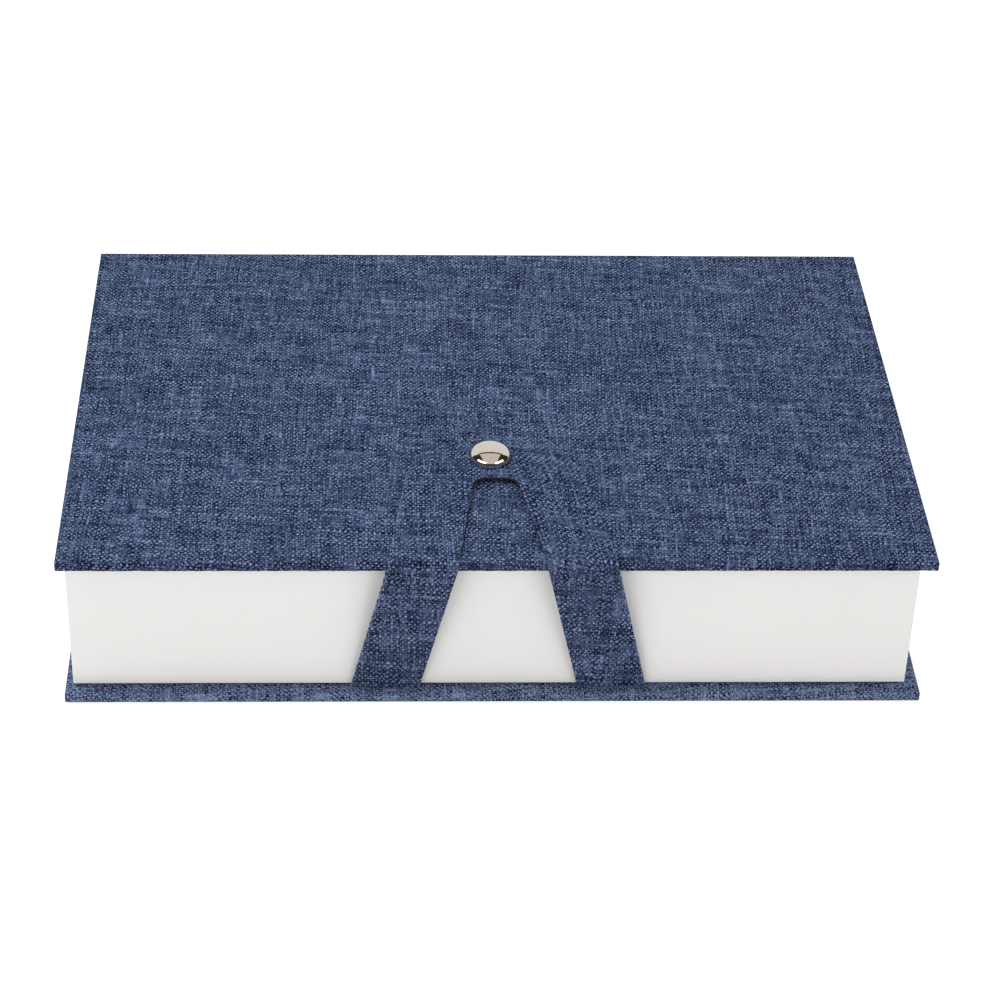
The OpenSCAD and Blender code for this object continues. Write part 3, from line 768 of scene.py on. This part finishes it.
def climb(y):
    """Height that the crown has gained at y: two arcs that meet half way."""
    if y <= CLIMB_START:
        return 0.0
    if y >= CLIMB_END:
        return CLIMB_H
    if y < CLIMB_START + CLIMB_L / 2:
        return CLIMB_RADIUS - math.sqrt(CLIMB_RADIUS ** 2 - (y - CLIMB_START) ** 2)
    return CLIMB_H - CLIMB_RADIUS + math.sqrt(CLIMB_RADIUS ** 2 - (CLIMB_END - y) ** 2)


def arch_x(r, y):
    """Half the width at y of an arch round the cut-out, whose corners have the radius r."""
    return (CUTOUT_FLAT / 2 + r * math.cos(CROWN_SPLAY)
            + (CORNER_Y + r * math.sin(CROWN_SPLAY) - y) * math.tan(CROWN_SPLAY))


def tail_row(q):
    """Row of the strap under the tray, q of the way from its end to the foot fold."""
    y = TAIL_HIGH[1] + (FOOT_AXIS[0] - TAIL_HIGH[1]) * q
    return dict(v=FOOT_AXIS[0] - y, cx=FOOT_X, at=lambda h: (y, TAIL_HIGH[2] - h))


def fold_row(axis, radius, t, v, cx):
    """Row of a fold about an axis, at the angle t."""
    turned = np.array([math.cos(t), math.sin(t)])
    return dict(v=v, cx=cx, at=lambda h: tuple(axis + (radius + h) * turned))


def foot_row(q):
    return fold_row(FOOT_AXIS, FOOT_R, -math.pi / 2 - FOOT_TURN * q, V_LEG * q, FOOT_X)


def leg_row(q):
    """Row of a leg, q of the way up from the foot fold."""
    s = LEG_L * q
    return dict(v=V_LEG + s, cx=FOOT_X - s * LEG_SPLAY,
                at=lambda h: tuple(FOOT_AXIS + (FOOT_R + h) * OUTWARD + s * ALONG))


def crease_row(q):
    return fold_row(CREASE_AXIS, CREASE_R, math.pi + LEAN - CREASE_TURN * q,
                    V_CREASE + (V_CROWN - V_CREASE) * q, CREASE_X)


# Cross-section of the strap: (distance in from the edge, height), from one edge round the
# outer face to the other. The card between the two cloths stands back a little.
EDGE_PROFILE = [(0.10, 0.0), (0.0, 0.07), (0.0, 0.30), (0.09, 0.36), (0.09, 0.64),
                (0.0, 0.70), (0.0, 0.93), (0.10, 1.0)]
EDGE_W = 0.4
ACROSS = 22
# Dark faces of the section: on the inner side the whole cut edge, both cloths as well as the card,
# as a painted shadow line along the strap's inner outline; on the outer side the card alone
SHADED_CUT_FACES = (1, 2, 3, 4, 5)
CORE_FACE = 3
OUTER_CORE_FACE = 2 * len(EDGE_PROFILE) + ACROSS - 1 - CORE_FACE
# How far in from the outer edge the cloth is painted lighter: a painted highlight where the edge
# catches the light, together with the lighter threads of the cut edge
LIT_EDGE_W = 0.9


def strap_mesh(name, strips):
    """Closed strap mesh. Each strip is a list of rows, and a row gives a point and a (u, v)
    for each share w from the inner edge to the outer one and each height h."""
    points, faces, uvs, slots, rim = [], [], [], [], []
    for rows in strips:
        first = len(points)
        fray = [rng.normal(0, row["fray"], 2) for row in rows]
        fray[0][:] = 0
        fray[-1][:] = 0
        for row, f in zip(rows, fray):
            width = row["width"]
            edge = EDGE_W / width
            inner, outer = [[((d + pull * (1 - d / EDGE_W)) / width, h * STRAP_T)
                             for d, h in EDGE_PROFILE] for pull in f]
            ring = inner + [(w, STRAP_T) for w in spread(edge, 1 - edge, ACROSS)]
            ring += [(1 - w, h) for w, h in outer[::-1]]
            ring += [(w, 0.0) for w in spread(1 - edge, edge, ACROSS)]
            n = len(ring)
            row["uv"] = []
            for w, h in ring:
                p, uv = row["point"](w, h)
                points.append(p)
                row["uv"].append(uv)
                # 1 at the outer edge, falling to 0 further in: where the strap's outer edge is
                # painted lighter, partly as a painted highlight
                rim.append(max(0.0, 1 - (1 - w) * width / LIT_EDGE_W))
        for k, (row, after) in enumerate(zip(rows, rows[1:])):
            for i in range(n):
                j = (i + 1) % n
                faces.append((first + k * n + i, first + k * n + j,
                              first + (k + 1) * n + j, first + (k + 1) * n + i))
                uvs += [row["uv"][i], row["uv"][j], after["uv"][j], after["uv"][i]]
                slots.append(1 if i in SHADED_CUT_FACES + (OUTER_CORE_FACE,) else 0)
        for k in (0, len(rows) - 1):
            f = tuple(first + k * n + i for i in range(n))
            faces.append(f)
            uvs += rows[k]["uv"]
            slots.append(0)
    obj = make_object(name, points, faces, uvs, [STRAP, CORE], slots, rim)
    return clean(obj, 50)


V_SNAP = V_CROWN + CAP_CENTRE[1] - CREASE_AXIS[0]
GRAIN_TILT = math.tan(math.radians(11))
# Place of the strap in its cloth, away from the lid's
STRAP_U = 400
# Sideways shift of the legs, how far it falls back up to the snap, and how far in the legs are
ASKEW, ASKEW_BACK, LEGS_IN = 0.65, 1.4, 0.2
# How much the cut edges waver, inner and outer
EVEN, FRAYED, LIGHTLY_FRAYED = (0.05, 0.05), (0.05, 0.22), (0.05, 0.08)


def ramped(t, low, high):
    """0 up to low, 1 from high on, and smooth between."""
    t = min(1.0, max(0.0, (t - low) / (high - low)))
    return t * t * (3 - 2 * t)


def askew(v):
    """The strap is pinned a little askew: sideways shift at distance v along it."""
    if v < V_CREASE:
        return ASKEW
    return ASKEW - ASKEW_BACK * min(1.0, (v - V_CREASE) / (V_SNAP - V_CREASE))


def strap_uv(x, v):
    """Weave of the strap. Its cloth is drawn askew on the right half of the crown."""
    right = ramped(x, -6, 16)
    u = x - right * GRAIN_TILT * min(V_SNAP - v, V_SNAP - V_CREASE)
    drawn = 0.12 * (x - 8) * ramped(v, V_CREASE - 20, V_CREASE + 5)
    return (u + STRAP_U, v + right * drawn)


def straight(row, side, fray=EVEN):
    """Row of a leg: it runs along X, and w goes from the inner edge to the outer one."""
    def point(w, h):
        y, z = row["at"](h)
        x = side * (row["cx"] - LEGS_IN - LEG_W / 2 + w * LEG_W)
        return (STRAP_X + x + askew(row["v"]), y, z), strap_uv(x, row["v"])
    return dict(width=LEG_W, point=point, fray=fray)


def crown_row(inner, outer):
    """Row of the crown between two points of its plan."""
    inner, outer = np.array(inner), np.array(outer)

    def point(w, h):
        x, y = inner + (outer - inner) * w
        v = V_CROWN + y - CREASE_AXIS[0]
        return (STRAP_X + x + askew(v), y, CROWN_Z + climb(y) + h), strap_uv(x, v)
    return dict(width=float(np.linalg.norm(outer - inner)), point=point, fray=EVEN)


def crown_rows(side):
    """Rows of one half of the crown, from the fold to the middle."""
    rows = []
    tangent = (CORNER_Y + CUTOUT_R * math.sin(CROWN_SPLAY),
               CORNER_Y + (CUTOUT_R + BAND_W) * math.sin(CROWN_SPLAY))
    for q in spread(0, 1, 44)[1:]:
        yi, yo = [CREASE_AXIS[0] + (y - CREASE_AXIS[0]) * q for y in tangent]
        rows.append(crown_row((side * arch_x(CUTOUT_R, yi), yi),
                              (side * arch_x(CUTOUT_R + BAND_W, yo), yo)))
    for t in spread(math.degrees(CROWN_SPLAY), 90, 44)[1:]:
        c, s = math.cos(math.radians(t)), math.sin(math.radians(t))
        rows.append(crown_row((side * (CUTOUT_FLAT / 2 + CUTOUT_R * c), CORNER_Y + CUTOUT_R * s),
                              (side * (CUTOUT_FLAT / 2 + (CUTOUT_R + BAND_W) * c),
                               CORNER_Y + (CUTOUT_R + BAND_W) * s)))
    return rows


def upper_half(side):
    """Rows from half way up a leg to the middle of the crown."""
    worn = FRAYED if side < 0 else LIGHTLY_FRAYED
    rows = [straight(leg_row(q), side, worn) for q in spread(0.5, 1, 40)]
    rows += [straight(crease_row(q), side, worn) for q in spread(0, 1, 12)[1:]]
    return rows + crown_rows(side)


left, right = upper_half(-1), upper_half(1)
middle = [crown_row((x, CORNER_Y + CUTOUT_R), (x, CORNER_Y + CUTOUT_R + BAND_W))
          for x in spread(-CUTOUT_FLAT / 2, CUTOUT_FLAT / 2, 5)[1:-1]]
strap_top = strap_mesh("strap_top", [left + middle + right[::-1]])
strap_foot = strap_mesh("strap_foot", [
    [straight(tail_row(q), side) for q in spread(0, 1, 8)]
    + [straight(foot_row(q), side) for q in spread(0, 1, 14)[1:]]
    + [straight(leg_row(q), side) for q in spread(0, 0.5, 40)[1:]]
    for side in (-1, 1)])
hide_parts("crown_face", "crown_core", "crown_backing", "strap_crease",
            "leg_face", "leg_core", "leg_backing")
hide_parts("strap_tails", "strap_foot_folds")
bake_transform(strap_top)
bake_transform(strap_foot)

# ---------------------------------------------------------------- snap's cap

def lathe(name, profile, centre, material, n=128):
    """Turned piece: profile is (radius, z) from the axis on top to the axis or bore below."""
    points, faces = [], []
    rings = []
    for r, z in profile:
        if r < 1e-6:
            rings.append([len(points)] * n)
            points.append((centre[0], centre[1], z))
        else:
            rings.append(list(range(len(points), len(points) + n)))
            points += [(centre[0] + r * math.cos(2 * math.pi * k / n),
                        centre[1] + r * math.sin(2 * math.pi * k / n), z) for k in range(n)]
    for a, b in zip(rings, rings[1:]):
        for k in range(n):
            k2 = (k + 1) % n
            f = [a[k], b[k], b[k2], a[k2]]
            f = [p for i, p in enumerate(f) if p not in f[:i]]
            if len(f) > 2:
                faces.append(tuple(f))
    obj = make_object(name, points, faces, None, [material])
    return clean(obj, 60)


def cap_profile():
    """Domed cap with a rolled rim, and its rivet tube that is turned over in the socket."""
    over = SNAP_UNDER + STRAP_T
    rim, fullness, steps = 0.9, 2.08, 48
    roll, wall = 0.7, 0.8
    tube, lining, turned = 1.9, 0.4, 0.25
    dome = CAP_HIGH[2] - over - rim
    points = []
    for i in range(steps + 1):
        t = math.radians(90 * (1 - i / steps))
        points.append((CAP_R * math.cos(t) ** (2 / fullness) if i else 0.0,
                       over + rim + dome * math.sin(t) ** (2 / fullness)))
    points.append((CAP_R, over + wall))
    points += arc(CAP_R - roll, over + roll + 0.02, roll, 0, -84, 10)
    low = CAP_LOW[2]
    points += [(CAP_R - roll - 0.2, over + 0.01), (tube, over), (tube, low + turned),
               (tube + 0.6, low + turned), (tube + 0.8, low + 0.15), (tube + 0.65, low),
               (tube - lining, low), (tube - lining, over + 0.3), (0.0, over + 0.3)]
    return points


cap = lathe("snap_dome", cap_profile(), CAP_CENTRE, NICKEL)
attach(cap, "strap_crown")
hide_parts("snap_cap")

# ---------------------------------------------------------------- CAD pieces that stay

KEPT = {
    "base_board": CARD, "spine_board": CARD, "lid_board": CARD, "tray_floor_board": CARD,
    "tray_front_board": CARD, "tray_back_board": CARD, "tray_left_board": CARD,
    "tray_right_board": CARD, "spine_lining": PAPER, "tray_floor_paper": PAPER,
    "lid_lining": PAPER, "glue_bed": GLUE, "snap_stud": PLATED, "snap_post": PLATED,
    "snap_socket": PLATED, "snap_spring": STEEL,
}
for node, material in KEPT.items():
    mesh = frame["nodes"][node].data
    mesh.materials.clear()
    mesh.materials.append(material)

# ---------------------------------------------------------------- stage, light and camera

# A diffuse ray that meets the floor within this distance (m) comes from what rests on it
CONTACT = 0.0015


def floor_material():
    """White floor. It is lit by itself for the camera and for what mirrors it, keeps soft
    shadows, can be seen through from below, and lights what stands on it from beneath."""
    g = Graph("stage_floor")
    g.set(Base_Color=(0.86, 0.86, 0.86, 1), Roughness=0.9)
    rays = g.node("ShaderNodeLightPath")
    glow = g.node("ShaderNodeEmission", Color=(1, 1, 1, 1), Strength=0.78)
    dim = g.node("ShaderNodeBsdfDiffuse", Color=(0.45, 0.45, 0.45, 1))
    both = g.node("ShaderNodeAddShader")
    g.link(glow.outputs[0], both.inputs[0])
    g.link(dim.outputs[0], both.inputs[1])
    touching = g.math("MULTIPLY", rays.outputs["Is Diffuse Ray"],
                      g.math("LESS_THAN", rays.outputs["Ray Length"], CONTACT))
    below = g.node("ShaderNodeMixShader", Fac=touching)
    g.link(g.bsdf.outputs[0], below.inputs[1])
    g.link(glow.outputs[0], below.inputs[2])
    seen = g.math("MAXIMUM", rays.outputs["Is Camera Ray"], rays.outputs["Is Glossy Ray"])
    pick = g.node("ShaderNodeMixShader", Fac=seen)
    g.link(below.outputs[0], pick.inputs[1])
    g.link(both.outputs[0], pick.inputs[2])
    under = g.node("ShaderNodeMixShader")
    g.link(g.node("ShaderNodeNewGeometry").outputs["Backfacing"], under.inputs[0])
    g.link(pick.outputs[0], under.inputs[1])
    g.link(g.node("ShaderNodeBsdfTransparent").outputs[0], under.inputs[2])
    g.link(under.outputs[0], g.out.inputs["Surface"])
    return g.mat


bpy.ops.mesh.primitive_plane_add(size=8, location=(0, 0, -CONTACT / 3))
floor = bpy.context.object
floor.name = "floor"
floor.data.materials.append(floor_material())


def studio_world():
    """Even white surroundings, plainer as light than as what the camera and metal see."""
    world = bpy.data.worlds.new("world")
    bpy.context.scene.world = world
    world.use_nodes = True
    tree = world.node_tree
    tree.nodes.clear()
    out = tree.nodes.new("ShaderNodeOutputWorld")
    rays = tree.nodes.new("ShaderNodeLightPath")

    def background(colour, strength):
        n = tree.nodes.new("ShaderNodeBackground")
        n.inputs[0].default_value = (*colour, 1)
        n.inputs[1].default_value = strength
        return n.outputs[0]

    def pick(ray, otherwise, shader):
        n = tree.nodes.new("ShaderNodeMixShader")
        tree.links.new(rays.outputs[ray], n.inputs[0])
        tree.links.new(otherwise, n.inputs[1])
        tree.links.new(shader, n.inputs[2])
        return n.outputs[0]

    around = background((0.97, 0.98, 1.0), 0.35)
    shader = pick("Is Glossy Ray", around, background((1, 0.985, 0.97), 0.82))
    shader = pick("Is Camera Ray", shader, background((1, 1, 1), 1.0))
    tree.links.new(shader, out.inputs[0])


studio_world()


def area_light(name, place, aim, size, power, colour=(1.0, 1.0, 1.0), mirrored=True):
    data = bpy.data.lights.new(name, "AREA")
    data.shape = "RECTANGLE"
    data.size, data.size_y = size
    data.energy = power
    data.color = colour
    obj = bpy.data.objects.new(name, data)
    obj.location = place
    obj.rotation_mode = "QUATERNION"
    obj.rotation_quaternion = (Vector(aim) - Vector(place)).to_track_quat("-Z", "Y")
    obj.visible_glossy = mirrored
    bpy.context.scene.collection.objects.link(obj)
    return obj


area_light("left_key", (-0.5, 0.15, 1.2), (0, 0, 0.03), (0.35, 0.35), 7.1, (0.8, 0.96, 1.0),
           mirrored=False)
area_light("right_key", (0.5, 0.15, 1.2), (0, 0, 0.03), (0.35, 0.35), 2.0, (0.85, 0.96, 1.0),
           mirrored=False)
area_light("left_softbox", (-1.4, -1.2, 0.9), (0, 0, 0.03), (1.7, 0.7), 13.2, (1.0, 0.985, 0.97))
area_light("right_softbox", (1.4, -1.2, 0.85), (0, 0, 0.03), (1.7, 0.7), 11.3, (1.0, 0.98, 0.96))


def mirrored_card(name, colour, radius, from_deg, to_deg, half_width, steps=24, closed=False):
    """Curved card over the table that only shiny surfaces see. Its angles run from the
    horizon behind the box over its top to the horizon in front. A closed card also has two
    side walls and a strip on the table in front."""
    path = [(radius * math.cos(math.radians(t)), radius * math.sin(math.radians(t)))
            for t in spread(from_deg, to_deg, steps)]
    if closed:
        path = [(path[0][0], 0.002)] + path + [(-0.7, 0.002)]
    points = [(x / MM, y / MM, z / MM) for y, z in path for x in (-half_width, half_width)]
    first = 1 if closed else 0
    faces = [(2 * i, 2 * i + 1, 2 * i + 3, 2 * i + 2) for i in range(first, len(path) - 1)]
    if closed:
        faces += [tuple(2 * i + side for i in range(len(path) - 1)) for side in (0, 1)]
    material = bpy.data.materials.new(name)
    material.use_nodes = True
    tree = material.node_tree
    tree.nodes.clear()
    glow = tree.nodes.new("ShaderNodeEmission")
    glow.inputs[0].default_value = (*colour, 1)
    tree.links.new(glow.outputs[0], tree.nodes.new("ShaderNodeOutputMaterial").inputs[0])
    obj = make_object(name, points, faces, None, [material])
    obj.visible_camera = obj.visible_diffuse = obj.visible_shadow = False
    obj.visible_transmission = obj.visible_volume_scatter = False


mirrored_card("dark_room", (0.035, 0.024, 0.018), 2.6, 66, 178, 2.7, closed=True)
mirrored_card("pale_panel", (0.70, 0.63, 0.58), 2.3, 73, 160, 1.45)

# Camera fitted to the photograph, with a small shift so that the other views hold the box
CAMERA_MM = np.array([-48.88, -904.71, 664.00])
PITCH, YAW, ROLL = math.radians(35.5162), math.radians(2.6978), math.radians(1.6059)
FOCAL_PX, IMAGE_PX = 2765.0, 990.0
CENTRE_PX = (470.0, 495.0)

cam_data = bpy.data.cameras.new("camera")
cam = bpy.data.objects.new("camera", cam_data)
bpy.context.scene.collection.objects.link(cam)
forward = Vector((math.sin(YAW) * math.cos(PITCH), math.cos(YAW) * math.cos(PITCH),
                  -math.sin(PITCH)))
right_axis = forward.cross(Vector((0, 0, 1))).normalized()
up_axis = right_axis.cross(forward)
right_axis, up_axis = (math.cos(ROLL) * right_axis + math.sin(ROLL) * up_axis,
                       -math.sin(ROLL) * right_axis + math.cos(ROLL) * up_axis)
basis = Matrix((right_axis, up_axis, -forward)).transposed()
cam.matrix_world = Matrix.Translation(Vector(CAMERA_MM * MM)) @ basis.to_4x4()
cam_data.sensor_width = 36.0
cam_data.lens = FOCAL_PX / IMAGE_PX * 36.0
cam_data.shift_x = (IMAGE_PX / 2 - CENTRE_PX[0]) / IMAGE_PX
cam_data.shift_y = (CENTRE_PX[1] - IMAGE_PX / 2) / IMAGE_PX
cam_data.clip_start, cam_data.clip_end = 0.05, 20
bpy.context.scene.camera = cam
bpy.context.scene.view_settings.view_transform = "Standard"
